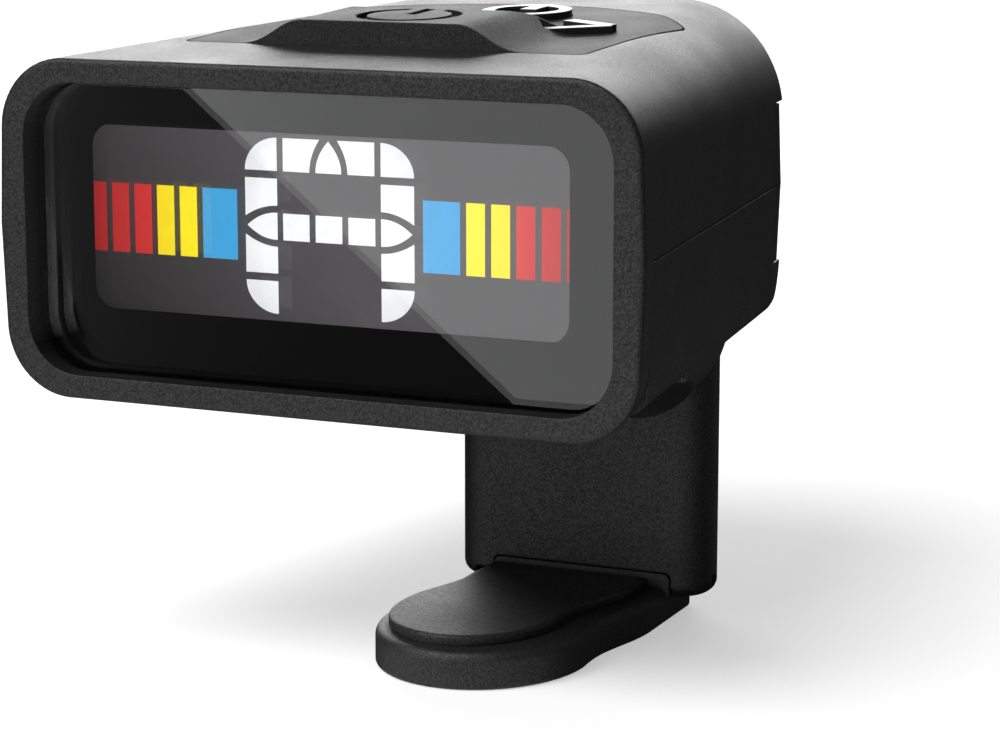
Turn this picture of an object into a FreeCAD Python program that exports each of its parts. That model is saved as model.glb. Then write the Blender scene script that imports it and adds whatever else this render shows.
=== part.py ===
import FreeCAD, Part
import os
from math import asin, cos, pi, radians, sin, tan

# Clip-on tuner. A tapered head holds a lit display, its board and a coin cell in a
# drawer. A toothed arm slides up into the head and carries a padded foot, so that
# the edge of a soundboard is gripped between the foot and the head's underside.
# Everything is drawn in millimetres in the head's frame: X across the display, Y
# from the rim's front face to the back, Z up from the rim's bottom edge. The origin
# is moved to the face of the head's grip pad when the parts are saved.

V = FreeCAD.Vector

# Head
HEAD_W = 30.0                   # widest, at the parting line of the rim
HEAD_H = 14.6                   # rim height
HEAD_D = 28.2                   # rim to the rear edge of the top cover
LOWER_D = 27.95                 # rim to the rear edge of the bottom cover
PARTING_Z = 7.4
SIDE_TAPER = radians(7.45)      # each side runs inwards towards the back
SIDE_DRAFT = radians(2.2)       # each side leans in above and below the parting line
TOP_SLOPE = 0.05                # the top rises towards the back
FLOOR_SLOPE = -0.002
FLOOR_Z = 1.0                   # underside just behind the rim
RIM_Z = -0.1                    # bottom edge of the rim
CORNER_FRONT, CORNER_REAR = 3.1, 5.4
FLOOR_CORNER_R = 1.0
RIM_EDGE_R = 0.22
REAR_EDGE_R = 0.15
REAR_UNDER_R = 2.7              # rounding from the underside up to the rear edge
WALL = 1.0
RIM_DEPTH = 1.5
LAP_DEPTH, LAP_INSET = 2.3, 0.45 # the rim's hidden step, which laps inside the bottom cover
SEAM = 0.07                     # gap between neighbouring covers
FIT = 0.05                      # running clearance of sliding pieces

# Rear face: a drawer front set in between two proud lips
REAR_STEP = 0.8
DRAWER_Z0, DRAWER_Z1 = 3.6, 11.2
FACE_T = 1.0
FACE_Y1 = HEAD_D - REAR_STEP
FACE_Y0 = FACE_Y1 - FACE_T

# Fairing round the arm, on the underside
COLLAR_Z = -1.75
COLLAR_X0 = -1.35
COLLAR_RAMP_Y0, COLLAR_Y0, COLLAR_Y1, COLLAR_REAR_Y = 8.9, 13.4, 18.6, 20.0
COLLAR_EDGE_R = 0.6
COLLAR_CORNER_R = 4.0
BEVEL_AT, BEVEL_WAY = (12.3, 15.5, -0.11), (5.0, 4.5, -3.3)

# Display window and the stack behind it, front to back
OPEN_HALF, OPEN_Z0, OPEN_Z1, OPEN_R = 13.64, 0.95, 13.58, 2.4
LENS_Y, LENS_T = 0.95, 0.6
MASK_Y, MASK_T = 1.57, 0.42
LCD_Y, LCD_T = 2.08, 1.1
GLOW_Y, GLOW_T = 3.23, 0.9
FRAME_Y1 = 4.8
SIGHT_X0, SIGHT_X1, SIGHT_Z0, SIGHT_Z1, SIGHT_R = -11.4, 11.12, 3.65, 11.7, 1.0
LCD_HALF, LCD_Z0, LCD_Z1 = 12.3, 2.6, 12.4
MASK_SLOTS_X = (-7.4, 5.6)      # middles of the two moulded slots below the display

# Key plate, let into the top
PLATE_FRONT, PLATE_SIDE_Y, PLATE_REAR = 6.7, 18.9, 23.8
PLATE_HALF = 9.6
PLATE_CORNER_R, PLATE_HIP_R = 0.5, 1.5
PLATE_T = 1.0
PLATE_GAP = 0.12
LIP, LIP_T, WEB_T = 0.5, 0.45, 0.35
RIDGE_H = 1.1
RIDGE_TOP_HALF, RIDGE_FOOT_HALF = 3.65, 6.8
RIDGE_CREST_Y, RIDGE_REAR_Y = 12.0, 15.0
POWER_X, POWER_Y, POWER_R, POWER_STROKE = 0.15, 9.6, 2.35, 0.5
ENGRAVING = 0.22
KEY_TRAVEL = 0.25
SYMBOL_H = 0.3
SYMBOL_GAP = 0.06
RING_X, RING_Y, RING_R, RING_STROKE, RING_GAP = 1.55, 19.3, 2.1, 0.6, 0.5
ARROW_TIP, ARROW_FRONT, ARROW_BACK, ARROW_STROKE = (7.65, 14.5), (5.15, 12.65), (5.1, 15.9), 0.7
KEY_SPOTS = ((POWER_X, POWER_Y), (RING_X, RING_Y), (ARROW_TIP[0] - 1.5, ARROW_TIP[1]))

# Board and cell
BOARD_Z, BOARD_T = 11.3, 0.8
BOARD_TOP = BOARD_Z + BOARD_T
BOARD_FRONT, BOARD_REAR = 6.0, 24.6
BOARD_SCREWS = ((-11.05, 10.4), (11.05, 10.4), (-8.9, 22.3), (8.9, 22.3))
CASE_SCREWS = ((-11.35, 6.9), (11.35, 6.9))
DOME_H = 0.32
CELL_R, CELL_T, CELL_Y, CELL_Z = 10.0, 3.2, 15.6, 7.1
TRAY_Y0, TRAY_T, TRAY_WALL_H = 5.6, 0.5, 2.4
CONTACT_POST_Z = 5.6
PIEZO_X, PIEZO_Y, PIEZO_Z, PIEZO_R = -6.6, 14.4, 2.9, 4.2

# Arm and foot
ARM_X0, ARM_X1, ARM_Y0, ARM_Y1, ARM_R = 0.13, 12.4, 14.0, 17.6, 1.7
ARM_TOP, ARM_BOTTOM = 1.0, -10.1
NOTCH_X0, NOTCH_X1, NOTCH_TOP, NOTCH_R = 2.2, 10.95, -8.9, 0.3
STEP_X0, STEP_X1, STEP_TOP = 1.25, 11.0, -9.52
RACK_X0, RACK_X1, RACK_DEPTH, RACK_BOTTOM = 5.0, 7.4, 0.8, -7.0
TOOTH_PITCH, TOOTH_H = 0.9, 0.4
GUIDE_WALL, GUIDE_TOP = 0.9, 6.2
FOOT_Z0, FOOT_Z1, PAD_Z1 = -11.2, -9.6, -9.15
TOE_X, TOE_Y, TOE_RX, TOE_RY = 5.03, 5.9, 3.7, 4.33
NECK_X0, NECK_X1 = 2.3, 9.8
FOOT_MARGIN, FOOT_SHIFT = 0.96, 0.42
FOOT_REAR, PAD_REAR = 17.9, 13.85
KNUCKLE_Y0, KNUCKLE_GAP = 13.95, 0.06
PIN_Y, PIN_Z, PIN_R = 15.8, -9.5, 0.3

# Detent leaf behind the arm
SPRING_SEAT_Z = 2.7
SPRING_SCREW_X, SPRING_SCREW_Y = (RACK_X0 + RACK_X1) / 2, 21.9

# Grip pad on the head's underside, opposite the toe; its face holds the origin
GRIP_X, GRIP_Y, GRIP_R, GRIP_Z = 5.0, 5.4, 3.2, -0.3
ORIGIN = V(GRIP_X, GRIP_Y, GRIP_Z)


# Shared construction

def box(x0, x1, y0, y1, z0, z1):
    return Part.makeBox(x1 - x0, y1 - y0, z1 - z0, V(x0, y0, z0))


def rod(x, y, z, radius, length, axis=V(0, 0, 1)):
    return Part.makeCylinder(radius, length, V(x, y, z), axis)


def union(shapes):
    return shapes[0].multiFuse(shapes[1:]).removeSplitter() if len(shapes) > 1 else shapes[0]


def rounded_wire(points, radii):
    """Closed wire through the points, with each corner rounded by its own radius."""
    count = len(points)
    starts, middles, ends = [], [], []
    for i, (corner, radius) in enumerate(zip(points, radii)):
        if radius <= 0:
            starts.append(corner)
            middles.append(None)
            ends.append(corner)
            continue
        back = (points[i - 1] - corner).normalize()
        ahead = (points[(i + 1) % count] - corner).normalize()
        half = back.getAngle(ahead) / 2
        bisector = (back + ahead).normalize()
        starts.append(corner + back * (radius / tan(half)))
        middles.append(corner + bisector * (radius / sin(half) - radius))
        ends.append(corner + ahead * (radius / tan(half)))
    edges = []
    for i in range(count):
        if middles[i]:
            edges.append(Part.Arc(starts[i], middles[i], ends[i]).toShape())
        following = starts[(i + 1) % count]
        if ends[i].distanceToPoint(following) > 1e-6:
            edges.append(Part.makeLine(ends[i], following))
    return Part.Wire(edges)


def plate_xz(x0, x1, z0, z1, radius, y0, y1):
    """Upright plate with rounded corners."""
    points = [V(x0, y0, z0), V(x1, y0, z0), V(x1, y0, z1), V(x0, y0, z1)]
    return Part.Face(rounded_wire(points, [radius] * 4)).extrude(V(0, y1 - y0, 0))


def plate_xy(outline, radii, z0, z1):
    """Flat plate from a list of (x, y) corners."""
    points = [V(x, y, z0) for x, y in outline]
    return Part.Face(rounded_wire(points, radii)).extrude(V(0, 0, z1 - z0))


def prism_x(outline, radii, x0, x1):
    """Bar along X from a list of (y, z) corners."""
    points = [V(x0, y, z) for y, z in outline]
    return Part.Face(rounded_wire(points, radii)).extrude(V(x1 - x0, 0, 0))


def leaf_x(route, thickness, x0, x1):
    """Bent strip of sheet metal: its side view follows the (y, z) route."""
    normals = []
    for (ya, za), (yb, zb) in zip(route, route[1:]):
        length = ((yb - ya) ** 2 + (zb - za) ** 2) ** 0.5
        normals.append(V(0, -(zb - za) / length, (yb - ya) / length))
    outer = []
    for i, (y, z) in enumerate(route):
        before, after = normals[max(i - 1, 0)], normals[min(i, len(normals) - 1)]
        mitre = (before + after) * (1 / (1 + before.dot(after)))
        outer.append((y + mitre.y * thickness, z + mitre.z * thickness))
    return prism_x(list(route) + outer[::-1], [0] * (2 * len(route)), x0, x1)


def soften(shape, radius, chosen):
    """Round the edges that the test chooses."""
    edges = [edge for edge in shape.Edges if chosen(edge)]
    return shape.makeFillet(radius, edges)


def at_z(edge, z):
    return all(abs(vertex.Z - z) < 1e-4 for vertex in edge.Vertexes)


def at_y(edge, y):
    return all(abs(vertex.Y - y) < 1e-4 for vertex in edge.Vertexes)


def at_x(edge, x):
    return all(abs(vertex.X - x) < 1e-4 for vertex in edge.Vertexes)


# Head form

def half_width(y):
    return HEAD_W / 2 - y * tan(SIDE_TAPER)


def top_z(y):
    return HEAD_H + TOP_SLOPE * y


def floor_z(y):
    return FLOOR_Z + FLOOR_SLOPE * y


def corner_radius(y):
    return CORNER_FRONT + (CORNER_REAR - CORNER_FRONT) * y / HEAD_D


def upper_section(y, inset):
    wide, top = half_width(y) - inset, top_z(y) - inset
    narrow = wide - (top - PARTING_Z) * tan(SIDE_DRAFT)
    radius = corner_radius(y) - inset
    points = [V(-wide, y, PARTING_Z), V(wide, y, PARTING_Z), V(narrow, y, top), V(-narrow, y, top)]
    return rounded_wire(points, [0, 0, radius, radius])


def lower_section(y, inset, bottom, corner):
    wide = half_width(y) - inset
    narrow = wide - (PARTING_Z - bottom) * tan(SIDE_DRAFT)
    radius = corner - inset
    points = [V(wide, y, PARTING_Z), V(-wide, y, PARTING_Z), V(-narrow, y, bottom), V(narrow, y, bottom)]
    return rounded_wire(points, [0, 0, radius, radius])


def upper_form(y0, y1, inset=0.0):
    return Part.makeLoft([upper_section(y, inset) for y in (y0, y1)], True, True)


def lower_form(y0, y1, inset=0.0):
    sections = [lower_section(y, inset, floor_z(y) + inset, FLOOR_CORNER_R) for y in (y0, y1)]
    return Part.makeLoft(sections, True, True)


def rim_form(y0, y1, inset=0.0):
    """The rim below the parting line, with its flat bottom edge."""
    sections = [lower_section(y, inset, RIM_Z + inset, corner_radius(y)) for y in (y0, y1)]
    return Part.makeLoft(sections, True, True)


def window(y0, y1):
    return plate_xz(-OPEN_HALF, OPEN_HALF, OPEN_Z0, OPEN_Z1, OPEN_R, y0, y1)


def sight(y0, y1):
    return plate_xz(SIGHT_X0, SIGHT_X1, SIGHT_Z0, SIGHT_Z1, SIGHT_R, y0, y1)


def under_top(offset):
    """Everything above the parting line and below a skin parallel to the head's top."""
    return upper_form(0, HEAD_D, -offset)


def layer(column, low, high):
    """The stretch of a column between two surfaces parallel to the top."""
    return column.common(under_top(high)).cut(under_top(low))


def plate_column(grow):
    """Column over the key plate's outline: straight front and sides, and a round back."""
    half, front, side_y = PLATE_HALF + grow, PLATE_FRONT - grow, PLATE_SIDE_Y
    rear = PLATE_REAR + grow
    radius = (half ** 2 + (rear - side_y) ** 2) / (2 * (rear - side_y))
    slab = plate_xy([(-half, front), (half, front), (half, rear + 1), (-half, rear + 1)],
                    [PLATE_CORNER_R + grow, PLATE_CORNER_R + grow, 0, 0], 5, 20)
    column = slab.common(rod(0, rear - radius, 5, radius, 15))
    hips = [e for e in column.Edges if at_x(e, half) or at_x(e, -half)]
    hips = [e for e in hips if abs(e.Length - 15) < 1e-4 and e.BoundBox.YMin > side_y - 1]
    return column.makeFillet(PLATE_HIP_R, hips)


# Shells

def arm_column(grow, z0, z1):
    outline = [(ARM_X0 - grow, ARM_Y0 - grow), (ARM_X1 + grow, ARM_Y0 - grow),
               (ARM_X1 + grow, ARM_Y1 + grow), (ARM_X0 - grow, ARM_Y1 + grow)]
    return plate_xy(outline, [ARM_R + grow] * 4, z0, z1)


def collar():
    """Belly round the arm that rises in a hollow ramp to the flat underside in front."""
    ramp = COLLAR_Y0 - COLLAR_RAMP_Y0
    drop = floor_z(COLLAR_RAMP_Y0) - COLLAR_Z
    radius = (ramp ** 2 + drop ** 2) / (2 * drop)
    start = V(COLLAR_X0, COLLAR_RAMP_Y0, floor_z(COLLAR_RAMP_Y0))
    half_turn = asin(ramp / radius) / 2
    middle = start + V(0, radius * sin(half_turn), -radius * (1 - cos(half_turn)))
    corners = [V(COLLAR_X0, y, z) for y, z in (
        (COLLAR_Y0, COLLAR_Z), (COLLAR_Y1, COLLAR_Z), (COLLAR_REAR_Y, floor_z(COLLAR_REAR_Y)),
        (COLLAR_REAR_Y, PARTING_Z - 3), (COLLAR_RAMP_Y0, PARTING_Z - 3))]
    edges = [Part.Arc(start, middle, corners[0]).toShape()]
    edges += [Part.makeLine(a, b) for a, b in zip(corners, corners[1:] + [start])]
    profile = Part.Face(Part.Wire(edges)).extrude(V(HEAD_W, 0, 0))
    sections = [lower_section(y, 0, COLLAR_Z, COLLAR_CORNER_R) for y in (COLLAR_RAMP_Y0, COLLAR_REAR_Y)]
    solid = Part.makeLoft(sections, True, True).common(profile)
    solid = soften(solid, COLLAR_EDGE_R, lambda e: at_x(e, COLLAR_X0) and e.BoundBox.ZMax < FLOOR_Z + 0.3)
    return solid.cut(Part.makeCylinder(15, 10, V(*BEVEL_AT), V(*BEVEL_WAY)))


def upper_shell():
    """Top cover with the whole rim."""
    outer = upper_form(0, HEAD_D).fuse(rim_form(0, RIM_DEPTH)).removeSplitter()
    outer = soften(outer, RIM_EDGE_R, lambda e: at_y(e, 0))
    outer = soften(outer, REAR_EDGE_R, lambda e: at_y(e, HEAD_D) and not at_z(e, PARTING_Z))
    outer = outer.cut(box(-20, 20, FACE_Y0 - SEAM, HEAD_D + 1, PARTING_Z - 1, DRAWER_Z1 + SEAM))
    outer = outer.fuse(rim_form(RIM_DEPTH - 0.4, LAP_DEPTH, LAP_INSET))
    shell = outer.cut(upper_form(LAP_DEPTH, HEAD_D - WALL, WALL)).cut(window(-1, LAP_DEPTH + 1))
    shell = shell.cut(rod(GRIP_X, GRIP_Y, -2, GRIP_R + 0.04, 4))
    shell = shell.cut(plate_column(0))
    inside = upper_form(1, HEAD_D, 0.5)
    for x, y in CASE_SCREWS:
        shell = shell.fuse(rod(x, y, PARTING_Z, 1.05, 9).common(inside))
        shell = shell.cut(rod(x, y, PARTING_Z - 1, 0.42, 4.5))
    for x, y in BOARD_SCREWS:
        shell = shell.fuse(rod(x, y, BOARD_TOP, 0.85, 4).common(inside))
        shell = shell.cut(rod(x, y, BOARD_TOP - 1, 0.3, 2.1))
    return shell.removeSplitter()


def lower_shell():
    """Bottom cover with the arm's guide and its fairing."""
    front = RIM_DEPTH + SEAM
    side_view = [(0, floor_z(0) - 0.004), (LOWER_D, floor_z(LOWER_D) - 0.004), (LOWER_D, 9), (0, 9)]
    outer = lower_form(front, HEAD_D).common(prism_x(side_view, [0, REAR_UNDER_R, 0, 0], -20, 20))
    outer = outer.fuse(collar())
    top = PARTING_Z - SEAM
    shell = outer.cut(lower_form(front + 0.8, FACE_Y0 + 0.2, WALL)).cut(box(-20, 20, 0, 30, top, 20))
    shell = shell.cut(rim_form(front - 0.1, LAP_DEPTH + FIT, LAP_INSET - FIT))
    shell = shell.cut(box(-13.1, 13.1, 0, FRAME_Y1 + 0.1, 1.8, 20))
    shell = shell.cut(box(-20, 20, FACE_Y0 - SEAM, HEAD_D + 1, DRAWER_Z0 - SEAM, 20))
    inside = lower_form(front, FACE_Y0, 0.3)
    shell = shell.fuse(arm_column(GUIDE_WALL, 0.5, GUIDE_TOP).common(inside))
    shell = shell.cut(arm_column(FIT, -4, 20))
    for x, y in CASE_SCREWS:
        shell = shell.fuse(rod(x, y, 0, 1.1, top).common(inside))
        shell = shell.cut(rod(x, y, -1, 0.55, 12)).cut(rod(x, y, -1, 1.0, 3.2))
    root = FLOOR_Z + 0.5
    shell = shell.fuse(rod(PIEZO_X, PIEZO_Y, root, PIEZO_R - 0.2, PIEZO_Z - root))
    shell = shell.cut(rod(PIEZO_X, PIEZO_Y, root + 0.6, PIEZO_R - 1.1, 3))
    shell = shell.fuse(box(-3.4, -1.2, 8.0, 9.8, root, CONTACT_POST_Z))
    shell = shell.fuse(box(RACK_X0 - 0.6, RACK_X1 + 0.6, 19.3, 23.2, root, SPRING_SEAT_Z))
    shell = shell.cut(box(RACK_X0 - 0.1, RACK_X1 + 0.1, ARM_Y1 - 0.5, ARM_Y1 + 1.5, 2.4, GUIDE_TOP + 1))
    shell = shell.cut(rod(SPRING_SCREW_X, SPRING_SCREW_Y, SPRING_SEAT_Z - 1.1, 0.28, 3))
    return shell.cut(rod(GRIP_X, GRIP_Y, -2, GRIP_R + 0.04, 2.0 + floor_z(GRIP_Y) + 0.3)).removeSplitter()


# Display

def window_lens():
    lens = plate_xz(-OPEN_HALF + 0.05, OPEN_HALF - 0.05, OPEN_Z0 + 0.05, OPEN_Z1 - 0.05, OPEN_R - 0.05,
                    LENS_Y, LENS_Y + LENS_T)
    return soften(lens, 0.1, lambda e: at_y(e, LENS_Y))


def display_mask():
    mask = plate_xz(-OPEN_HALF + 0.1, OPEN_HALF - 0.1, OPEN_Z0 + 0.1, OPEN_Z1 - 0.1, OPEN_R - 0.1,
                    MASK_Y, MASK_Y + MASK_T)
    mask = mask.cut(sight(MASK_Y - 1, MASK_Y + 1))
    for x in MASK_SLOTS_X:
        mask = mask.cut(box(x - 1.1, x + 1.1, MASK_Y - 1, MASK_Y + 0.25, OPEN_Z0 + 0.3, OPEN_Z0 + 0.55))
    return mask


def lcd_panel():
    """Two sheets of glass; the rear one stands lower, where the flex is bonded."""
    middle = LCD_Y + LCD_T / 2
    front = box(-LCD_HALF, LCD_HALF, LCD_Y, middle, LCD_Z0 + 0.9, LCD_Z1)
    return front.fuse(box(-LCD_HALF, LCD_HALF, middle, LCD_Y + LCD_T, LCD_Z0, LCD_Z1)).removeSplitter()


def light_guide():
    guide = box(-LCD_HALF + 0.1, LCD_HALF - 0.1, GLOW_Y, GLOW_Y + GLOW_T, LCD_Z0 + 0.1, LCD_Z1 - 0.1)
    y0, y1 = GLOW_Y + 0.1, GLOW_Y + GLOW_T - 0.1
    return union([guide] + [box(x - 0.8, x + 0.8, y0, y1, LCD_Z0 - 0.4, LCD_Z0 + 0.1) for x in (-6, 6)])


def display_frame():
    frame = plate_xz(-13.0, 13.0, 1.9, 12.9, 1.0, LCD_Y - 0.03, FRAME_Y1)
    pocket = box(-LCD_HALF - 0.06, LCD_HALF + 0.06, 0, GLOW_Y + GLOW_T + 0.05, LCD_Z0 - 0.06, LCD_Z1 + 0.06)
    leds = box(-7.0, 7.0, GLOW_Y, GLOW_Y + GLOW_T + 0.05, LCD_Z0 - 0.5, LCD_Z0)
    return frame.cut(pocket).cut(leds).cut(box(-5.6, 5.6, GLOW_Y, FRAME_Y1 + 1, LCD_Z1 - 1.2, LCD_Z1 - 0.6))


def display_flex():
    """Thin strip from the frame's back that folds over the board's front edge."""
    fold = BOARD_TOP + 0.15
    route = [(7.6, fold), (FRAME_Y1 + 0.4, fold), (FRAME_Y1 + 0.02, fold - 0.4), (FRAME_Y1 + 0.02, 6.0)]
    return leaf_x(route, 0.12, -5.5, 5.5)


# Electronics

def board_half(y):
    return half_width(y) - WALL - 0.6


def main_board():
    outline = [(-9.9, BOARD_FRONT), (9.9, BOARD_FRONT), (9.9, 8.2), (board_half(8.2), 8.2),
               (board_half(BOARD_REAR), BOARD_REAR), (-board_half(BOARD_REAR), BOARD_REAR),
               (-board_half(8.2), 8.2), (-9.9, 8.2)]
    board = plate_xy(outline, [0.4, 0.4, 0.3, 0.5, 1.8, 1.8, 0.5, 0.3], BOARD_Z, BOARD_TOP)
    for x, y in BOARD_SCREWS:
        board = board.cut(rod(x, y, BOARD_Z - 1, 0.4, 3))
    return board


def controller_chip():
    x0, y0, side = -7.2, 10.8, 5.0
    pieces = [box(x0, x0 + side, y0, y0 + side, BOARD_Z - 0.75, BOARD_Z - 0.08)]
    for i in range(7):
        y = y0 + 0.7 + 0.6 * i
        for x in (x0 - 0.4, x0 + side):
            pieces.append(box(x, x + 0.4, y - 0.11, y + 0.11, BOARD_Z - 0.3, BOARD_Z))
    return union(pieces)


def crystal_can():
    can = plate_xy([(2.4, 10.4), (5.6, 10.4), (5.6, 11.7), (2.4, 11.7)], [0.6] * 4, BOARD_Z - 0.75, BOARD_Z)
    return soften(can, 0.12, lambda e: at_z(e, BOARD_Z - 0.75))


def chip_capacitors():
    spots = ((-8.9, 12.2), (-8.9, 14.2), (3.0, 13.4), (5.0, 13.4), (7.8, 12.2), (7.8, 14.2))
    chips = [box(x - 0.5, x + 0.5, y - 0.25, y + 0.25, BOARD_Z - 0.5, BOARD_Z) for x, y in spots]
    return Part.makeCompound(chips)


def dome_switches():
    domes = []
    for x, y in KEY_SPOTS:
        crown = Part.makeCone(1.3, 0.7, DOME_H - 0.1, V(x, y, BOARD_TOP + 0.1))
        domes.append(rod(x, y, BOARD_TOP, 1.5, 0.1).fuse(crown).removeSplitter())
    return Part.makeCompound(domes)


def piezo_disc():
    brass = rod(PIEZO_X, PIEZO_Y, PIEZO_Z, PIEZO_R, 0.2)
    return brass.fuse(rod(PIEZO_X, PIEZO_Y, PIEZO_Z + 0.2, PIEZO_R - 1.1, 0.2)).removeSplitter()


def piezo_leads():
    """Two thin wires from the sounder disc, up past the drawer, to the board's edge."""
    low, high, side, bend, wire = PIEZO_Z + 0.6, BOARD_Z, -10.75, 0.5, 0.14
    leads = []
    for y in (12.7, 13.3):
        start, turn = V(PIEZO_X, y, low), V(side, y, low)
        middle = turn + V(bend * (1 - sin(pi / 4)), 0, bend * (1 - cos(pi / 4)))
        path = Part.Wire([
            Part.makeLine(start, turn + V(bend, 0, 0)),
            Part.Arc(turn + V(bend, 0, 0), middle, turn + V(0, 0, bend)).toShape(),
            Part.makeLine(turn + V(0, 0, bend), V(side, y, high))])
        section = Part.Wire([Part.makeCircle(wire, start, V(1, 0, 0))])
        leads.append(path.makePipeShell([section], True, True))
    return Part.makeCompound(leads)


def coin_cell():
    can = rod(0, CELL_Y, CELL_Z + 0.35, CELL_R, CELL_T - 0.35)
    can = soften(can, 0.3, lambda e: at_z(e, CELL_Z + CELL_T))
    cap = soften(rod(0, CELL_Y, CELL_Z, CELL_R - 1.1, 0.35), 0.1, lambda e: at_z(e, CELL_Z))
    return can.fuse(cap).removeSplitter()


def battery_contact_positive():
    """Spring strip under the board that bows down to the top of the cell."""
    top = CELL_Z + CELL_T + 0.05
    route = [(23.6, BOARD_Z - 0.2), (21.6, BOARD_Z - 0.2), (18.4, top), (17.4, top), (16.6, top + 0.4)]
    return leaf_x(route[::-1], 0.15, -1.4, 1.4)


def battery_contact_negative():
    """Spring strip on a post beside the guide that reaches the underside of the cell."""
    route = [(8.1, CONTACT_POST_Z), (9.6, CONTACT_POST_Z), (12.0, CELL_Z - 0.2), (12.8, CELL_Z - 0.2),
             (13.2, CELL_Z - 0.45)]
    return leaf_x(route, 0.15, -3.2, -1.4)


def battery_drawer():
    """Tray for the coin cell, with the middle of the rear face as its front."""
    sections = []
    for y in (FACE_Y0, FACE_Y1):
        wide = half_width(y)
        low = wide - (PARTING_Z - DRAWER_Z0) * tan(SIDE_DRAFT)
        high = wide - (DRAWER_Z1 - PARTING_Z) * tan(SIDE_DRAFT)
        right = [(low, DRAWER_Z0), (wide, PARTING_Z), (high, DRAWER_Z1)]
        corners = [V(x, y, z) for x, z in right] + [V(-x, y, z) for x, z in right[::-1]]
        sections.append(Part.makePolygon(corners + corners[:1]))
    front = soften(Part.makeLoft(sections, True, True), 0.2, lambda e: at_y(e, FACE_Y1))
    nail = rod(-3.5, FACE_Y1 + 0.35, DRAWER_Z0 + 1.6, 0.8, 7.0, V(1, 0, 0))
    front = front.cut(nail)
    tray_z = CELL_Z - 0.05
    half = CELL_R + 0.18
    tray = box(-half, half, TRAY_Y0, FACE_Y0, tray_z - TRAY_T, tray_z)
    walls = box(-half, half, TRAY_Y0, FACE_Y0, tray_z, tray_z + TRAY_WALL_H)
    walls = walls.cut(rod(0, CELL_Y, tray_z, CELL_R + 0.08, 9))
    tray = tray.fuse(walls).cut(box(-20, 20, 0, CELL_Y - 8.6, tray_z, 20))
    slot = box(-3.5, -1.1, 0, 13.6, 0, tray_z + 0.01)
    return tray.cut(slot).fuse(front).removeSplitter()


# Keys

def ridge():
    """Raised trapezoid with S-shaped flanks and a sloping back."""
    y0, y1 = PLATE_FRONT + PLATE_GAP, RIDGE_REAR_Y
    profiles = []
    for y in (y0, y1):
        z = top_z(y)
        poles = [V(-RIDGE_FOOT_HALF, y, z), V(-RIDGE_FOOT_HALF + 1.5, y, z),
                 V(-RIDGE_TOP_HALF - 1.2, y, z + RIDGE_H), V(-RIDGE_TOP_HALF, y, z + RIDGE_H)]
        mirror = [V(-p.x, p.y, p.z) for p in reversed(poles)]
        flanks = []
        for side in (poles, mirror):
            curve = Part.BezierCurve()
            curve.setPoles(side)
            flanks.append(curve.toShape())
        base = [mirror[-1], V(RIDGE_FOOT_HALF, y, z - 0.4), V(-RIDGE_FOOT_HALF, y, z - 0.4), poles[0]]
        lines = [Part.makeLine(a, b) for a, b in zip(base, base[1:])]
        profiles.append(Part.Wire([flanks[0], Part.makeLine(poles[-1], mirror[0]), flanks[1]] + lines))
    body = Part.makeLoft(profiles, True, True)
    crest, foot_y = RIDGE_CREST_Y, RIDGE_REAR_Y - 0.4
    ahead = crest - 2
    back = [(crest, top_z(crest) + RIDGE_H), (crest + 1.0, top_z(crest) + RIDGE_H - 0.22),
            (foot_y - 0.9, top_z(foot_y) + 0.16), (foot_y, top_z(foot_y)), (foot_y + 2, 15.3),
            (foot_y + 2, 20), (ahead, 20), (ahead, top_z(ahead) + RIDGE_H + 0.01)]
    return body.cut(prism_x(back, [0, 1.2, 1.2, 0, 0, 0, 0, 0], -20, 20))


def power_icon():
    """Open ring with its gap to the rear and a bar through the gap."""
    inner = POWER_R - POWER_STROKE
    ring = rod(POWER_X, POWER_Y, 10, POWER_R, 10).cut(rod(POWER_X, POWER_Y, 10, inner, 10))
    ring = ring.cut(box(POWER_X - 0.85, POWER_X + 0.85, POWER_Y, POWER_Y + 4, 5, 25))
    half = POWER_STROKE / 2
    return ring.fuse(box(POWER_X - half, POWER_X + half, POWER_Y + 0.1, POWER_Y + POWER_R + 0.15, 10, 20))


def ring_symbol(grow):
    """Open ring with its gap to the front and a short bar towards the rear."""
    outer, inner = RING_R + grow, RING_R - RING_STROKE - grow
    ring = rod(RING_X, RING_Y, 8, outer, 12).cut(rod(RING_X, RING_Y, 8, inner, 12))
    gap = RING_GAP - grow
    ring = ring.cut(box(RING_X - gap, RING_X + gap, RING_Y - 5, RING_Y, 8, 20))
    half = 0.4 + grow
    bar = box(RING_X - half, RING_X + half, RING_Y + 0.1 - grow, RING_Y + inner + 2 * grow + 0.1, 8, 20)
    return union([ring, bar])


def arrow_symbol(grow):
    """Open arrow head of two straight strokes that meet in a blunt point."""
    half = ARROW_STROKE / 2 + grow
    strokes = []
    for tail in (ARROW_FRONT, ARROW_BACK):
        dx, dy = tail[0] - ARROW_TIP[0], tail[1] - ARROW_TIP[1]
        length = (dx * dx + dy * dy) ** 0.5
        ux, uy = dx / length, dy / length
        ends = [(ARROW_TIP[0] - ux * grow, ARROW_TIP[1] - uy * grow),
                (tail[0] + ux * grow, tail[1] + uy * grow)]
        left = [(x - uy * half, y + ux * half) for x, y in ends]
        right = [(x + uy * half, y - ux * half) for x, y in ends[::-1]]
        strokes.append(plate_xy(left + right, [0] * 4, 8, 20))
    return union(strokes)


def key_stem(x, y, radius):
    low = BOARD_TOP + DOME_H + KEY_TRAVEL + 0.04
    return rod(x, y, low, radius, 4).common(under_top(-PLATE_T + 0.1))


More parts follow.
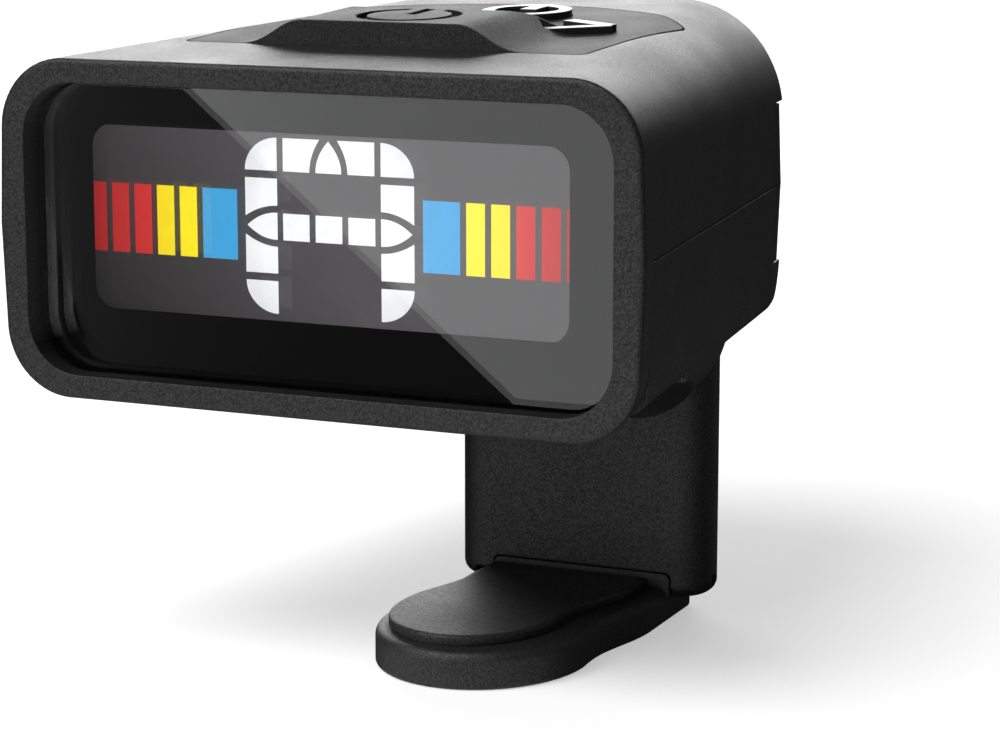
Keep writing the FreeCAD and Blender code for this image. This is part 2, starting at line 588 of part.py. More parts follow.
def power_key():
    """Key plate with the power ridge; the two small keys stand up through it."""
    plate = layer(plate_column(-PLATE_GAP), -PLATE_T, 0)
    plate = plate.fuse(ridge().common(plate_column(-PLATE_GAP)))
    skirt = layer(plate_column(LIP), -PLATE_T - LIP_T - SEAM, -PLATE_T - SEAM)
    core = layer(plate_column(-PLATE_GAP), -PLATE_T - LIP_T - SEAM, -PLATE_T + 0.1)
    plate = plate.fuse(skirt).fuse(core).cut(layer(plate_column(-1.0), -PLATE_T - 1, -PLATE_T))
    plate = plate.cut(layer(power_icon(), RIDGE_H - ENGRAVING, RIDGE_H + 1))
    plate = plate.cut(ring_symbol(SYMBOL_GAP)).cut(arrow_symbol(SYMBOL_GAP))
    return plate.fuse(key_stem(POWER_X, POWER_Y, 0.8)).removeSplitter()


def symbol_key(symbol, web, x, y):
    """Raised symbol on a web that hangs far enough below the plate to let the plate travel."""
    web_top = -PLATE_T - KEY_TRAVEL - 0.07
    raised = layer(symbol, web_top - 0.1, SYMBOL_H)
    stem = key_stem(x, y, 0.7).common(under_top(web_top - 0.1))
    return union([raised, layer(web, web_top - WEB_T, web_top), stem])


def ring_key():
    return symbol_key(ring_symbol(0), rod(RING_X, RING_Y, 8, RING_R + 0.2, 10), RING_X, RING_Y)


def arrow_key():
    x0, x1 = ARROW_BACK[0] - 0.6, ARROW_TIP[0] + 0.25
    web = box(x0, x1, ARROW_FRONT[1] - 0.5, ARROW_BACK[1] + 0.5, 8, 18)
    return symbol_key(arrow_symbol(0), web, ARROW_TIP[0] - 1.5, ARROW_TIP[1])


# Arm and foot

def arm():
    """Flat arm with a toothed channel down its back and a notch for the foot."""
    body = arm_column(0, ARM_BOTTOM, ARM_TOP)
    body = soften(body, 0.6, lambda e: at_z(e, ARM_BOTTOM))
    notch = plate_xz(NOTCH_X0, NOTCH_X1, ARM_BOTTOM - 3, NOTCH_TOP, NOTCH_R, ARM_Y0 - 1, ARM_Y1 + 1)
    step = plate_xz(STEP_X0, STEP_X1, ARM_BOTTOM - 3, STEP_TOP, 0.15, ARM_Y0 - 1, ARM_Y1 + 1)
    body = body.cut(notch).cut(step)
    body = body.cut(box(RACK_X0, RACK_X1, ARM_Y1 - RACK_DEPTH, ARM_Y1 + 1, RACK_BOTTOM, ARM_TOP + 1))
    root = ARM_Y1 - RACK_DEPTH
    teeth = []
    z = RACK_BOTTOM + 0.3
    while z + TOOTH_PITCH < ARM_TOP:
        outline = [(root - 0.1, z), (root, z), (root + TOOTH_H, z + 0.15), (root, z + TOOTH_PITCH - 0.1),
                   (root - 0.1, z + TOOTH_PITCH - 0.1)]
        teeth.append(prism_x(outline, [0] * 5, RACK_X0 - 0.05, RACK_X1 + 0.05))
        z += TOOTH_PITCH
    body = union([body] + teeth)
    return body.cut(rod(ARM_X0 - 1, PIN_Y, PIN_Z, PIN_R, 20, V(1, 0, 0)))


def foot_plan(grow, shift, rear, z):
    """Oval toe that runs through a shallow waist into a straight neck."""
    reach, x = TOE_RX + grow, TOE_X + shift
    oval = Part.Ellipse(V(x, TOE_Y - TOE_RY - grow, z), V(x - reach, TOE_Y, z), V(x, TOE_Y, z))
    edges = [Part.ArcOfEllipse(oval, -pi / 2, pi / 2).toShape()]
    right, left, neck_right, neck_left = x + reach, x - reach, NECK_X1 + grow, NECK_X0 - grow
    sides = (((right, 0), (right - 0.18, 2.0), (right - 0.03, 3.0), (neck_right, 4.4), (neck_right, 6.3)),
             ((left, 0), (left - 0.03, 1.5), (left + 0.27, 2.6), (neck_left, 3.5), (neck_left, 5.5)))
    for poles in sides:
        curve = Part.BezierCurve()
        curve.setPoles([V(x, TOE_Y + y, z) for x, y in poles])
        edges.append(curve.toShape())
        edges.append(Part.makeLine(V(poles[-1][0], TOE_Y + poles[-1][1], z), V(poles[-1][0], rear, z)))
    edges.append(Part.makeLine(V(neck_left, rear, z), V(neck_right, rear, z)))
    return Part.Wire(Part.__sortEdges__(edges))


def foot():
    """Rigid foot whose knuckle fills the arm's notch and takes the pin."""
    outline = foot_plan(FOOT_MARGIN, FOOT_SHIFT, FOOT_REAR, FOOT_Z0)
    base = Part.Face(outline).extrude(V(0, 0, FOOT_Z1 - FOOT_Z0))
    base = soften(base, 1.0, lambda e: at_y(e, FOOT_REAR) and not at_z(e, FOOT_Z0) and not at_z(e, FOOT_Z1))
    base = soften(base, 0.15, lambda e: at_z(e, FOOT_Z0))
    base = soften(base, 0.4, lambda e: at_z(e, FOOT_Z1))
    knuckle = plate_xz(NOTCH_X0 + KNUCKLE_GAP, NOTCH_X1 - KNUCKLE_GAP, FOOT_Z1 - 0.6, NOTCH_TOP - KNUCKLE_GAP,
                       NOTCH_R, KNUCKLE_Y0, FOOT_REAR - 0.5)
    foot_body = base.fuse(knuckle).cut(rod(ARM_X0 - 1, PIN_Y, PIN_Z, PIN_R, 20, V(1, 0, 0)))
    return foot_body.removeSplitter()


def foot_pad():
    pad = Part.Face(foot_plan(0, 0, PAD_REAR, FOOT_Z1)).extrude(V(0, 0, PAD_Z1 - FOOT_Z1))
    return soften(pad, 0.15, lambda e: at_z(e, PAD_Z1))


def foot_pin():
    return rod(ARM_X0 + 0.35, PIN_Y, PIN_Z, PIN_R, ARM_X1 - ARM_X0 - 0.7, V(1, 0, 0))


def head_grip_pad():
    pad = rod(GRIP_X, GRIP_Y, GRIP_Z, GRIP_R, floor_z(GRIP_Y) + 0.3 - GRIP_Z)
    return soften(pad, 0.15, lambda e: at_z(e, GRIP_Z))


# Detent

def detent_spring():
    """Bent leaf whose nose rides on the arm's teeth."""
    sheet = 0.15
    nose = ARM_Y1 - RACK_DEPTH + TOOTH_H + 0.06 + sheet
    seat = SPRING_SEAT_Z + sheet
    route = [(23.0, seat), (19.6, seat), (19.2, 3.7), (nose, 4.15), (nose, 4.45), (19.2, 4.9), (19.2, 5.9)]
    leaf = leaf_x(route, sheet, RACK_X0 + 0.25, RACK_X1 - 0.25)
    return leaf.cut(rod(SPRING_SCREW_X, SPRING_SCREW_Y, 0, 0.32, 4))


# Fasteners

def screw(x, y, z_head, up, length, radius, head_r, head_t):
    """Cross-head screw; up is +1 when its point is above its head."""
    way = V(0, 0, up)
    head = Part.makeCylinder(head_r, head_t, V(x, y, z_head), way)
    shank = Part.makeCylinder(radius, length + head_t, V(x, y, z_head), way)
    reach, half, depth = head_r * 0.6, 0.11, 0.22
    cross = [box(x - reach, x + reach, y - half, y + half, z_head - depth, z_head + depth),
             box(x - half, x + half, y - reach, y + reach, z_head - depth, z_head + depth)]
    return head.fuse(shank).cut(union(cross)).removeSplitter()


def case_screws():
    return Part.makeCompound([screw(x, y, 1.5, 1, 8.6, 0.41, 0.95, 0.7) for x, y in CASE_SCREWS])


def board_screws():
    z_head = BOARD_Z - 0.45
    return Part.makeCompound([screw(x, y, z_head, 1, 1.7, 0.29, 0.75, 0.45) for x, y in BOARD_SCREWS])


def spring_screw():
    top = SPRING_SEAT_Z + 0.15 + 0.02 + 0.4
    return screw(SPRING_SCREW_X, SPRING_SCREW_Y, top, -1, 1.0, 0.27, 0.7, 0.4)


PARTS = (upper_shell, lower_shell, window_lens, display_mask, lcd_panel, light_guide, display_frame,
         display_flex, main_board, controller_chip, crystal_can, chip_capacitors, dome_switches,
         piezo_disc, piezo_leads, coin_cell, battery_contact_positive, battery_contact_negative,
         battery_drawer, power_key, ring_key, arrow_key, arm, foot, foot_pad, foot_pin, head_grip_pad,
         detent_spring, spring_screw, case_screws, board_screws)

os.makedirs("parts", exist_ok=True)
for make in PARTS:
    shape = make()
    shape.translate(V(0, 0, 0) - ORIGIN)
    print(f"{make.__name__:26s} solids {len(shape.Solids)} valid {shape.isValid()}")
    shape.exportStep(f"parts/{make.__name__}.step")
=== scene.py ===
"""Looks for the clip-on tuner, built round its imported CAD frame."""

import math

import bmesh
import bpy
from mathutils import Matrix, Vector


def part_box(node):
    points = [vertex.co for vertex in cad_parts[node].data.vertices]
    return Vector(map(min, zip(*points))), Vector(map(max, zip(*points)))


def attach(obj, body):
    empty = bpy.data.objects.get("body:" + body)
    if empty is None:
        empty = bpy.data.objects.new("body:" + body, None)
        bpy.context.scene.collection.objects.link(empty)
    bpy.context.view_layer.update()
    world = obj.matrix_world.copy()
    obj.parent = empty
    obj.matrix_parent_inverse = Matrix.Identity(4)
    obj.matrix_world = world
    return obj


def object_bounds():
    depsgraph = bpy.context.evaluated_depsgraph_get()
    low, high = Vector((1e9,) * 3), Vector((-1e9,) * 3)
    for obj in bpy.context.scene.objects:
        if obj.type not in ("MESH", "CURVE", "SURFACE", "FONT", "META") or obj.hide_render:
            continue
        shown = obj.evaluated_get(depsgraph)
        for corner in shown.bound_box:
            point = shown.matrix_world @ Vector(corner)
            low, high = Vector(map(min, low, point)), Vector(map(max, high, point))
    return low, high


MM = 0.001

# Camera: on the plane of the rim's front, then out along its azimuth and elevation
AIM = Vector((3.76, -5.4, 3.25)) * MM
AZIMUTH, ELEVATION = math.radians(24.0), math.radians(10.76)
CAMERA_DISTANCE = 115.63 * MM
FOCAL_LENGTH = 103.3

# Where the glare's slanting edge crosses the lens, as shares of its width
GLARE_TOP, GLARE_BOTTOM = 0.265, 0.836

# Display, in millimetres from the middle of the letter
LETTER_RISE = 0.18              # middle of the letter above the middle of the panel
LETTER_HALF_H = 3.75
OUTER, INNER = 3.96, 2.44       # sides of the upright strokes
STROKE_H = 1.4
GAP = 0.3
ARCH_HALF = 0.6
EYE_HALF_H, EYE_LENGTH = 0.575, 1.43
SQUARE_HALF = 0.62
BAR_HALF_H, BAR_W, BAR_PITCH, BLUE_W = 1.505, 0.83, 1.12, 1.67
BLUE_START = 4.37
SEGMENT_T, SEGMENT_SUNK = 0.02, 0.004
FULL_GLOW = 0.62                # share of a film's reach inside which it glows fully

PAINT_T = 0.012

# Studio floor and the card, in metres
FLOOR_RADIUS, FADE_START, FADE_END = 0.6, 0.16, 0.42
CARD_DISTANCE, CARD_OVERLAP, CARD_WIDTH = 0.1, 0.03, 0.11
CARD_STRENGTH = 0.58
BACKDROP_STRENGTH, ROOM_LOW, ROOM_HIGH = 1.05, 0.014, 0.16

# Lights: place, aim, width and height in millimetres, then radiance
TABLE_Z = -13.5                 # just under the floor, which casts no shadow
AREA_LIGHTS = {
    "back_softbox": ((-140, 288, 95), (0, 5, 8), 290, 130, 4.7),
    "front_fill": ((-150, -190, 72), (0, 0, 5), 160, 160, 1.75),
    "table_bounce": ((5, -32, TABLE_Z), (5, -32, 100), 130, 62, 0.6),
    "table_bounce_right": ((62, -130, TABLE_Z), (62, -130, 100), 120, 130, 0.9),
    "table_bounce_back": ((40, 72, TABLE_Z), (40, 72, 100), 60, 100, 0.07),
}
SUN_DIRECTION, SUN_STRENGTH, SUN_SIZE = (0.33, 0.41, -0.85), 1.75, 37


# Node building

class Shader:
    """A node material and short ways to add to it."""

    def __init__(self, name):
        self.material = bpy.data.materials.new(name)
        self.material.use_nodes = True
        self.tree = self.material.node_tree
        self.tree.nodes.clear()
        self.output = self.tree.nodes.new("ShaderNodeOutputMaterial")
        self.coordinates = self.tree.nodes.new("ShaderNodeTexCoord").outputs
        self.place = self.coordinates["Object"]

    def node(self, kind, **inputs):
        made = self.tree.nodes.new("ShaderNode" + kind)
        for name, value in inputs.items():
            self.put(made.inputs[name.replace("_", " ")], value)
        return made

    def put(self, socket, value):
        if isinstance(value, bpy.types.NodeSocket):
            self.tree.links.new(value, socket)
        elif isinstance(value, tuple) and len(value) == 3 and socket.type == "RGBA":
            socket.default_value = (*value, 1.0)
        else:
            socket.default_value = value

    def noise(self, size_mm, detail=2.0, roughness=0.5, place=None):
        made = self.node("TexNoise", Vector=place or self.place, Scale=1.0 / (size_mm * MM), Detail=detail,
                         Roughness=roughness)
        return made.outputs["Fac"]

    def ramp(self, value, low, high, to_low=0.0, to_high=1.0):
        made = self.node("MapRange", Value=value, From_Min=low, From_Max=high, To_Min=to_low, To_Max=to_high)
        made.clamp = True
        return made.outputs["Result"]

    def math(self, operation, a, b):
        made = self.tree.nodes.new("ShaderNodeMath")
        made.operation = operation
        self.put(made.inputs[0], a)
        self.put(made.inputs[1], b)
        return made.outputs["Value"]

    def blend(self, factor, a, b):
        made = self.tree.nodes.new("ShaderNodeMix")
        made.data_type = "RGBA"
        self.put(made.inputs["Factor"], factor)
        self.put([s for s in made.inputs if s.name == "A" and s.type == "RGBA"][0], a)
        self.put([s for s in made.inputs if s.name == "B" and s.type == "RGBA"][0], b)
        return [s for s in made.outputs if s.type == "RGBA"][0]

    def bump(self, height, depth_mm, strength=1.0, normal=None):
        made = self.node("Bump", Height=height, Distance=depth_mm * MM, Strength=strength)
        if normal:
            self.put(made.inputs["Normal"], normal)
        return made.outputs["Normal"]

    def rounded(self, radius_mm):
        made = self.node("Bevel", Radius=radius_mm * MM)
        made.samples = 4
        return made.outputs["Normal"]

    def finish(self, kind="BsdfPrincipled", **inputs):
        surface = self.node(kind, **inputs)
        self.tree.links.new(surface.outputs[0], self.output.inputs["Surface"])
        return self.material


def moulded(name, colour, light, roughness, grain_mm, depth_mm, specular=0.5, edge_mm=0.12, sill_mm=None):
    """Spark-eroded moulding: fine grain in the surface, and slow changes in colour and gloss.

    Faces that look up from below the sill's height, inside the window, have no shine.
    """
    s = Shader(name)
    grain = s.noise(grain_mm, 3.0, 0.6)
    cloud = s.noise(3.5, 2.0)
    mix = s.math("ADD", s.math("MULTIPLY", grain, 0.7), s.math("MULTIPLY", cloud, 0.3))
    tone = s.blend(s.ramp(mix, 0.38, 0.62), colour, light)
    gloss = s.ramp(s.math("ADD", s.math("MULTIPLY", grain, 0.5), s.math("MULTIPLY", cloud, 0.5)), 0.35, 0.65,
                   roughness + 0.05, roughness - 0.05)
    shine = s.ramp(grain, 0.36, 0.64, 0.55 * specular, 1.45 * specular)
    if sill_mm is not None:
        up = s.ramp(s.node("SeparateXYZ", Vector=s.coordinates["Normal"]).outputs["Z"], 0.15, 0.5)
        low = s.ramp(s.node("SeparateXYZ", Vector=s.place).outputs["Z"], sill_mm * MM, (sill_mm - 0.5) * MM)
        shine = s.math("MULTIPLY", shine, s.math("SUBTRACT", 1.0, s.math("MULTIPLY", up, low)))
    normal = s.bump(grain, depth_mm, normal=s.rounded(edge_mm))
    return s.finish(Base_Color=tone, Roughness=gloss, Specular_IOR_Level=shine, Normal=normal)


def metal(name, colour, light, roughness, brushed=(1.0, 1.0, 1.0)):
    """Plated or rolled metal: fine drawn lines along one direction and a few dull stains."""
    s = Shader(name)
    stretched = s.node("Mapping", Vector=s.place, Scale=brushed).outputs["Vector"]
    lines = s.noise(0.12, 3.0, 0.6, stretched)
    stain = s.ramp(s.noise(1.6, 3.0), 0.45, 0.7)
    return s.finish(Base_Color=s.blend(stain, light, colour), Metallic=1.0,
                    Roughness=s.ramp(s.math("ADD", lines, stain), 0.3, 1.5, roughness - 0.06,
                                     roughness + 0.12),
                    Normal=s.bump(lines, 0.004, normal=s.rounded(0.05)))


def glossy_plastic(name, colour, light, roughness, size_mm=0.8, specular=0.5):
    s = Shader(name)
    cloud = s.noise(size_mm, 3.0)
    haze = s.ramp(s.noise(size_mm / 4, 2.0), 0.35, 0.65, roughness - 0.03, roughness + 0.05)
    return s.finish(Base_Color=s.blend(s.ramp(cloud, 0.4, 0.6), colour, light), Roughness=haze,
                    Specular_IOR_Level=specular, Normal=s.bump(cloud, 0.003, normal=s.rounded(0.05)))


def circuit_board(name):
    """Solder mask over copper: tracks in two directions show as slightly raised, lighter lines."""
    s = Shader(name)
    tracks = []
    for direction in ("X", "Y"):
        wave = s.node("TexWave", Vector=s.place, Scale=0.36 / MM, Distortion=1.5, Detail=0.0,
                      Detail_Scale=0.25)
        wave.bands_direction = direction
        tracks.append(s.ramp(wave.outputs["Fac"], 0.78, 0.86))
    patch = s.ramp(s.noise(2.6, 1.0), 0.49, 0.5)
    track = s.math("MAXIMUM", s.math("MULTIPLY", tracks[0], patch),
                   s.math("MULTIPLY", tracks[1], s.math("SUBTRACT", 1.0, patch)))
    return s.finish(Base_Color=s.blend(track, (0.008, 0.09, 0.035), (0.02, 0.19, 0.075)), Roughness=0.3,
                    Coat_Weight=0.4, Coat_Roughness=0.15, Normal=s.bump(track, 0.02))


def lens(name):
    """Clear cover: light passes straight through, and only its two flat faces reflect."""
    s = Shader(name)
    facing = s.node("SeparateXYZ", Vector=s.coordinates["Normal"]).outputs["Y"]
    polished = s.ramp(s.math("ABSOLUTE", facing, 0.0), 0.98, 0.999)
    smear = s.ramp(s.noise(6.0, 2.0), 0.3, 0.8, 0.0, 0.012)
    clear = s.node("BsdfTransparent", Color=(0.96, 0.965, 0.97))
    gloss = s.node("BsdfGlossy", Roughness=smear, Color=(1.0, 1.0, 1.0))
    mixed = s.node("MixShader", Fac=s.math("MULTIPLY", s.node("Fresnel", IOR=1.8).outputs["Fac"], polished))
    s.tree.links.new(clear.outputs[0], mixed.inputs[1])
    s.tree.links.new(gloss.outputs[0], mixed.inputs[2])
    s.tree.links.new(mixed.outputs[0], s.output.inputs["Surface"])
    return s.material


def lit(name, dark, bright, slope, middle, span_mm, base):
    """Backlit film: its glow grows along a slope, or towards the middle where slope is None."""
    s = Shader(name)
    minus = s.node("VectorMath")
    minus.operation = "SUBTRACT"
    s.put(minus.inputs[0], s.place)
    minus.inputs[1].default_value = middle
    measure = s.node("VectorMath")
    s.put(measure.inputs[0], minus.outputs["Vector"])
    span = span_mm * MM
    if slope:
        measure.operation = "DOT_PRODUCT"
        measure.inputs[1].default_value = slope
        share = s.ramp(measure.outputs["Value"], -span, span)
    else:
        measure.operation = "LENGTH"
        share = s.ramp(measure.outputs["Value"], span, FULL_GLOW * span)
    film = s.ramp(s.noise(0.35, 2.0), 0.3, 0.7, 0.97, 1.03)
    glow = s.blend(share, dark, bright)
    return s.finish(Base_Color=base, Roughness=0.28, Specular_IOR_Level=0.3, Emission_Color=glow,
                    Emission_Strength=film)


# Mesh building

def new_object(name, mesh_builder, material):
    builder = bmesh.new()
    mesh_builder(builder)
    bmesh.ops.recalc_face_normals(builder, faces=builder.faces)
    mesh = bpy.data.meshes.new(name)
    builder.to_mesh(mesh)
    builder.free()
    mesh.materials.append(material)
    made = bpy.data.objects.new(name, mesh)
    bpy.context.scene.collection.objects.link(made)
    return made


def slabs(outlines, origin, front, back):
    """Thin upright slabs from (x, z) outlines in millimetres, between two depths in metres."""
    def build(builder):
        for outline in outlines:
            face = builder.faces.new([builder.verts.new((origin.x + u * MM, front, origin.z + v * MM))
                                      for u, v in outline])
            swept = bmesh.ops.extrude_face_region(builder, geom=[face])
            for item in swept["geom"]:
                if isinstance(item, bmesh.types.BMVert):
                    item.co.y = back
    return build


# Letter and tuning bars

def flipped(outline, horizontal, vertical):
    return [(u * horizontal, v * vertical) for u, v in outline]


def steps(count):
    return [i / count for i in range(count + 1)]


def corner_segment():
    width = OUTER - INNER
    low = LETTER_HALF_H - STROKE_H
    turns = [t * math.pi / 2 for t in steps(24)]
    return [(INNER, low)] + [(INNER + width * math.cos(a), low + STROKE_H * math.sin(a)) for a in turns]


def top_segment():
    low = LETTER_HALF_H - STROKE_H
    foot = ARCH_HALF + GAP
    arch_side = [(foot - 0.48 * t * t, low + STROKE_H * t) for t in steps(16)]
    return arch_side + [(INNER - GAP, LETTER_HALF_H), (INNER - GAP, low)]


def arch_segment():
    low, height = LETTER_HALF_H - STROKE_H, STROKE_H - 0.06
    right = [(ARCH_HALF * (1 - t ** 2.1), low + height * t) for t in steps(16)]
    return right + [(-u, v) for u, v in reversed(right[:-1])]


def eye_segment():
    top = [(INNER + EYE_LENGTH * t, EYE_HALF_H * (1 - t ** 2.2)) for t in steps(18)]
    return top + [(u, -v) for u, v in reversed(top[:-1])]


def upright_segment():
    """Upright stroke whose end follows the pointed segment next to it."""
    end = [(INNER + (OUTER - INNER) * t, EYE_HALF_H + GAP - 0.48 * t * t) for t in steps(12)]
    top = LETTER_HALF_H - STROKE_H - GAP - 0.03
    return end + [(OUTER, top), (INNER, top)]


def square_segment(middle):
    return [(middle - SQUARE_HALF, -SQUARE_HALF + 0.04), (middle + SQUARE_HALF, -SQUARE_HALF + 0.04),
            (middle + SQUARE_HALF, SQUARE_HALF - 0.06), (middle - SQUARE_HALF, SQUARE_HALF - 0.06)]


def letter():
    found = [arch_segment(), square_segment(0.0)]
    for side in (-1, 1):
        found += [flipped(shape, side, 1) for shape in (top_segment(), eye_segment())]
        found.append(square_segment(side * (2 * SQUARE_HALF + GAP)))
        for end in (-1, 1):
            found += [flipped(shape, side, end) for shape in (corner_segment(), upright_segment())]
    return found


def bars(first, width, count):
    found = []
    for side in (-1, 1):
        for i in range(count):
            near = first + i * BAR_PITCH
            found.append([(side * near, -BAR_HALF_H - 0.04), (side * (near + width), -BAR_HALF_H - 0.04),
                          (side * (near + width), BAR_HALF_H - 0.04), (side * near, BAR_HALF_H - 0.04)])
    return found


def display():
    low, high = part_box("lcd_panel")
    middle = (low + high) / 2 + Vector((0, 0, LETTER_RISE * MM))
    yellow_start = BLUE_START + BLUE_W + 0.29
    red_start = yellow_start + 2 * BAR_PITCH
    kinds = (
        ("segments_letter", letter(), (1.0, 1.0, 1.02), (1.3, 1.3, 1.3), 5.4),
        ("segments_blue", bars(BLUE_START, BLUE_W, 1), (0.058, 0.44, 0.87), (0.07, 0.5, 0.97), 9.0),
        ("segments_yellow", bars(yellow_start, BAR_W, 2), (1.3, 0.84, 0.006), (1.42, 1.16, 0.02), 11.0),
        ("segments_red", bars(red_start, BAR_W, 3), (0.46, 0.015, 0.019), (1.0, 0.05, 0.043), 12.4),
    )
    for name, outlines, dark, bright, reach in kinds:
        front, sunk = low.y - SEGMENT_T * MM, low.y + SEGMENT_SUNK * MM
        film = lit(name + "_film", dark, bright, None, middle, reach, (0.02, 0.02, 0.02))
        piece = new_object(name, slabs(outlines, middle, front, sunk), film)
        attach(piece, "head")
    return lit("lcd_film", (0.026, 0.023, 0.024), (0.107, 0.1, 0.104), (0.85, 0.0, 0.53),
               middle - Vector((7 * MM, 0, 0)), 5.5, (0.012, 0.012, 0.012))


def painted_top(node, body, material):
    """White paint on the top of a raised symbol, cut from the symbol's own top face."""
    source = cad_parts[node]
    high = max(vertex.co.z for vertex in source.data.vertices)

    def build(builder):
        builder.from_mesh(source.data)
        bmesh.ops.remove_doubles(builder, verts=builder.verts, dist=1e-7)
        builder.normal_update()
        other = [f for f in builder.faces if f.normal.z < 0.9 or f.calc_center_median().z < high - 0.5 * MM]
        bmesh.ops.delete(builder, geom=other, context="FACES")
        swept = bmesh.ops.extrude_face_region(builder, geom=builder.faces[:])
        for item in swept["geom"]:
            if isinstance(item, bmesh.types.BMVert):
                item.co.z += PAINT_T * MM
    piece = new_object(node + "_paint", build, material)
    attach(piece, body)


# Studio

def floor(height):
    """Pale floor that fades into the backdrop with distance."""
    s = Shader("floor_paper")
    across = s.node("VectorMath")
    across.operation = "LENGTH"
    s.put(across.inputs[0], s.place)
    edge = s.ramp(across.outputs["Value"], FADE_START, FADE_END)
    paper = s.node("BsdfPrincipled", Base_Color=(0.82, 0.82, 0.82), Roughness=0.9, Specular_IOR_Level=0.0,
                   Emission_Color=(1.0, 1.0, 1.0), Emission_Strength=0.46,
                   Normal=s.bump(s.noise(0.5, 3.0), 0.01))
    gone = s.node("BsdfTransparent")
    mixed = s.node("MixShader", Fac=edge)
    s.tree.links.new(paper.outputs[0], mixed.inputs[1])
    s.tree.links.new(gone.outputs[0], mixed.inputs[2])
    s.tree.links.new(mixed.outputs[0], s.output.inputs["Surface"])

    def build(builder):
        bmesh.ops.create_circle(builder, cap_ends=True, radius=FLOOR_RADIUS, segments=96)
    made = new_object("floor", build, s.material)
    made.location.z = height
    made.visible_glossy = False
    made.visible_diffuse = False
    made.visible_shadow = False


def glare_card(lens_low, lens_high):
    """White card seen only in reflections; its edge slants across the lens in the camera's view."""
    s = Shader("card_white")
    glow = s.node("Emission", Color=(1.0, 1.0, 1.0), Strength=CARD_STRENGTH)
    s.tree.links.new(glow.outputs[0], s.output.inputs["Surface"])
    eye = Vector((camera.location.x, 2 * lens_low.y - camera.location.y, camera.location.z))

    def seen(share, height):
        point = Vector((lens_low.x + share * (lens_high.x - lens_low.x), lens_low.y, height))
        ray = point - eye
        return eye + ray * ((-CARD_DISTANCE - eye.y) / ray.y)

    top, bottom = seen(GLARE_TOP, lens_high.z), seen(GLARE_BOTTOM, lens_low.z)
    slant = (top - bottom).normalized()
    corners = [bottom - slant * CARD_OVERLAP, top + slant * CARD_OVERLAP]
    corners += [corner + Vector((CARD_WIDTH, 0, 0)) for corner in reversed(corners)]

    def build(builder):
        builder.faces.new([builder.verts.new(corner) for corner in corners])
    made = new_object("glare_card", build, s.material)
    for kind in ("camera", "diffuse", "transmission", "shadow", "volume_scatter"):
        setattr(made, "visible_" + kind, False)


def area_light(name, place_mm, aim_mm, width_mm, height_mm, radiance):
    """White panel whose strength follows its size, so that it stays equally bright to look at."""
    data = bpy.data.lights.new(name, "AREA")
    data.shape = "RECTANGLE"
    data.size, data.size_y = width_mm * MM, height_mm * MM
    data.energy = math.pi * data.size * data.size_y * radiance
    made = bpy.data.objects.new(name, data)
    made.location = Vector(place_mm) * MM
    made.rotation_euler = (Vector(aim_mm) - Vector(place_mm)).to_track_quat("-Z", "Y").to_euler()
    bpy.context.scene.collection.objects.link(made)


def sun(direction, energy, angle):
    data = bpy.data.lights.new("key", "SUN")
    data.energy, data.angle = energy, math.radians(angle)
    made = bpy.data.objects.new("key", data)
    made.rotation_euler = Vector(direction).to_track_quat("-Z", "Y").to_euler()
    bpy.context.scene.collection.objects.link(made)


def surroundings():
    """White backdrop; the object itself is lit by a dim room that is a little brighter overhead."""
    world = bpy.data.worlds.new("studio")
    world.use_nodes = True
    tree = world.node_tree
    tree.nodes.clear()
    new = tree.nodes.new
    place, split, level = new("ShaderNodeTexCoord"), new("ShaderNodeSeparateXYZ"), new("ShaderNodeMapRange")
    tree.links.new(place.outputs["Generated"], split.inputs[0])
    tree.links.new(split.outputs["Z"], level.inputs["Value"])
    for name, value in (("From Min", -0.3), ("From Max", 0.9),
                        ("To Min", ROOM_LOW), ("To Max", ROOM_HIGH)):
        level.inputs[name].default_value = value
    room, backdrop = new("ShaderNodeBackground"), new("ShaderNodeBackground")
    room.inputs["Color"].default_value = (1, 1, 1, 1)
    tree.links.new(level.outputs["Result"], room.inputs["Strength"])
    backdrop.inputs["Color"].default_value = (1, 1, 1, 1)
    backdrop.inputs["Strength"].default_value = BACKDROP_STRENGTH
    rays, mixed = new("ShaderNodeLightPath"), new("ShaderNodeMixShader")
    output = new("ShaderNodeOutputWorld")
    tree.links.new(rays.outputs["Is Camera Ray"], mixed.inputs["Fac"])
    tree.links.new(room.outputs[0], mixed.inputs[1])
    tree.links.new(backdrop.outputs[0], mixed.inputs[2])
    tree.links.new(mixed.outputs[0], output.inputs["Surface"])
    bpy.context.scene.world = world


# Build

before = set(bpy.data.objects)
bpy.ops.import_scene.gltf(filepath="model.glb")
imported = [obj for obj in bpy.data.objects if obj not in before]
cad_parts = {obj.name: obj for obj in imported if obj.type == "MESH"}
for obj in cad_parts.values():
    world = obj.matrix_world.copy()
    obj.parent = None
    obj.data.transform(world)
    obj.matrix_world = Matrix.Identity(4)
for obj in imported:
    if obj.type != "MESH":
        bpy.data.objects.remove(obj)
cad_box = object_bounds()

back = Vector((math.sin(AZIMUTH) * math.cos(ELEVATION),
               -math.cos(AZIMUTH) * math.cos(ELEVATION),
               math.sin(ELEVATION)))
camera = bpy.data.objects.new("camera", bpy.data.cameras.new("camera"))
camera.location = AIM + back * CAMERA_DISTANCE
camera.rotation_euler = (-back).to_track_quat("-Z", "Y").to_euler()
camera.data.lens, camera.data.sensor_width = FOCAL_LENGTH, 36.0
camera.data.clip_start, camera.data.clip_end = 0.005, 10.0
bpy.context.scene.collection.objects.link(camera)
bpy.context.scene.camera = camera

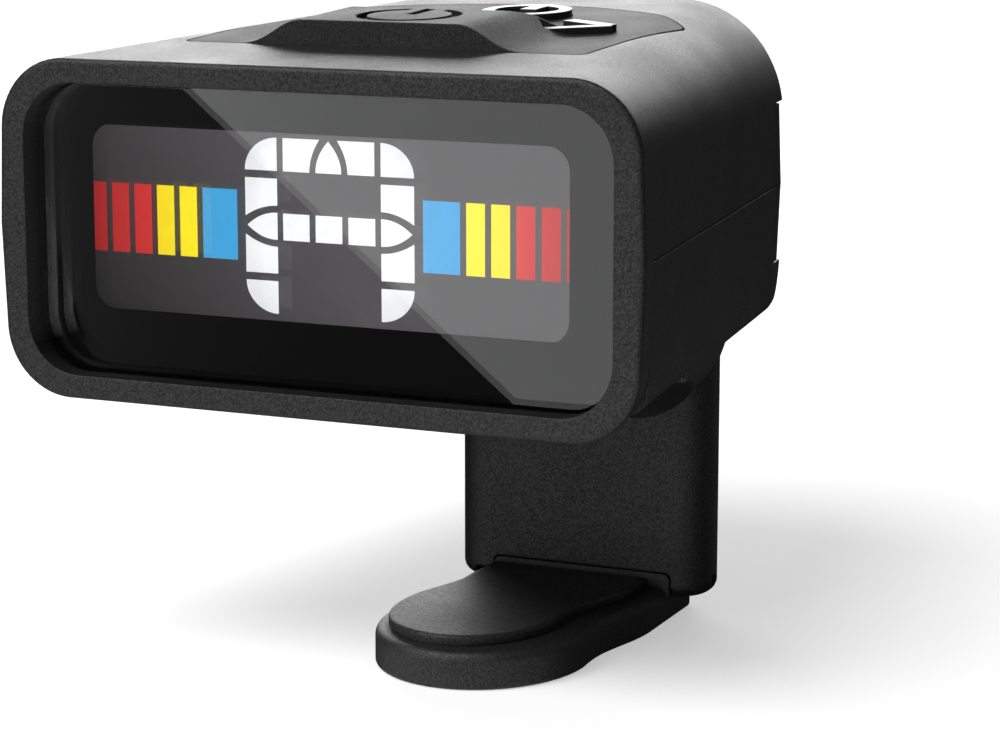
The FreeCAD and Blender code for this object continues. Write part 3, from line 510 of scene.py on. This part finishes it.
FINISHES = {
    "housing_plastic": moulded("housing", (0.012, 0.012, 0.0125), (0.022, 0.022, 0.0225), 0.42, 0.08, 0.035,
                               sill_mm=3.0),
    "key_plastic": moulded("keys", (0.016, 0.016, 0.0165), (0.026, 0.026, 0.0265), 0.55, 0.08, 0.025, 0.36),
    "arm_plastic": moulded("arm_finish", (0.012, 0.012, 0.0125), (0.02, 0.02, 0.0205), 0.46, 0.08, 0.03),
    "pad_rubber": moulded("rubber", (0.014, 0.014, 0.014), (0.022, 0.022, 0.022), 0.5, 0.1, 0.008, 0.4),
    "lens_clear": lens("clear_cover"),
    "mask_black": glossy_plastic("mask", (0.0014, 0.0014, 0.0015), (0.0022, 0.0022, 0.0024), 0.35, 1.5, 0.0),
    "lcd_glass": display(),
    "light_guide_white": glossy_plastic("light_guide_finish", (0.8, 0.82, 0.84), (0.86, 0.88, 0.9), 0.25),
    "frame_white": moulded("frame_finish", (0.66, 0.66, 0.63), (0.74, 0.74, 0.71), 0.5, 0.3, 0.01),
    "flex_amber": glossy_plastic("flex_film", (0.5, 0.24, 0.04), (0.6, 0.31, 0.07), 0.25, 0.5),
    "board_green": circuit_board("board"),
    "chip_black": moulded("chip", (0.016, 0.016, 0.017), (0.028, 0.028, 0.03), 0.6, 0.08, 0.006),
    "capacitor_tan": glossy_plastic("ceramic", (0.4, 0.28, 0.17), (0.5, 0.37, 0.24), 0.4, 0.3),
    "tinned_steel": metal("tin_plate", (0.55, 0.55, 0.53), (0.68, 0.68, 0.66), 0.3),
    "cell_steel": metal("nickel_plate", (0.62, 0.62, 0.6), (0.74, 0.74, 0.72), 0.24, (0.15, 1.0, 1.0)),
    "spring_bronze": metal("bronze", (0.55, 0.33, 0.14), (0.75, 0.5, 0.25), 0.28, (0.2, 1.0, 1.0)),
    "piezo_brass": metal("brass_disc", (0.66, 0.5, 0.2), (0.8, 0.63, 0.3), 0.34, (0.3, 1.0, 1.0)),
    "wire_red": glossy_plastic("wire_insulation", (0.42, 0.015, 0.015), (0.55, 0.03, 0.03), 0.35, 0.4),
    "screw_black": metal("black_oxide", (0.025, 0.025, 0.028), (0.06, 0.06, 0.065), 0.4),
    "pin_steel": metal("pin_finish", (0.45, 0.45, 0.46), (0.6, 0.6, 0.61), 0.26, (0.1, 1.0, 1.0)),
}
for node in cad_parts.values():
    for place in node.material_slots:
        place.material = FINISHES[place.material.name]

paint = glossy_plastic("white_paint", (0.78, 0.78, 0.78), (0.86, 0.86, 0.86), 0.4, 0.3)
painted_top("ring_key", "ring_button", paint)
painted_top("arrow_key", "arrow_button", paint)

floor(cad_box[0].z - 0.01 * MM)
glare_card(*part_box("window_lens"))
surroundings()
sun(SUN_DIRECTION, SUN_STRENGTH, SUN_SIZE)
for name, settings in AREA_LIGHTS.items():
    area_light(name, *settings)

view = bpy.context.scene.view_settings
view.view_transform = "Standard"
view.look = "None"
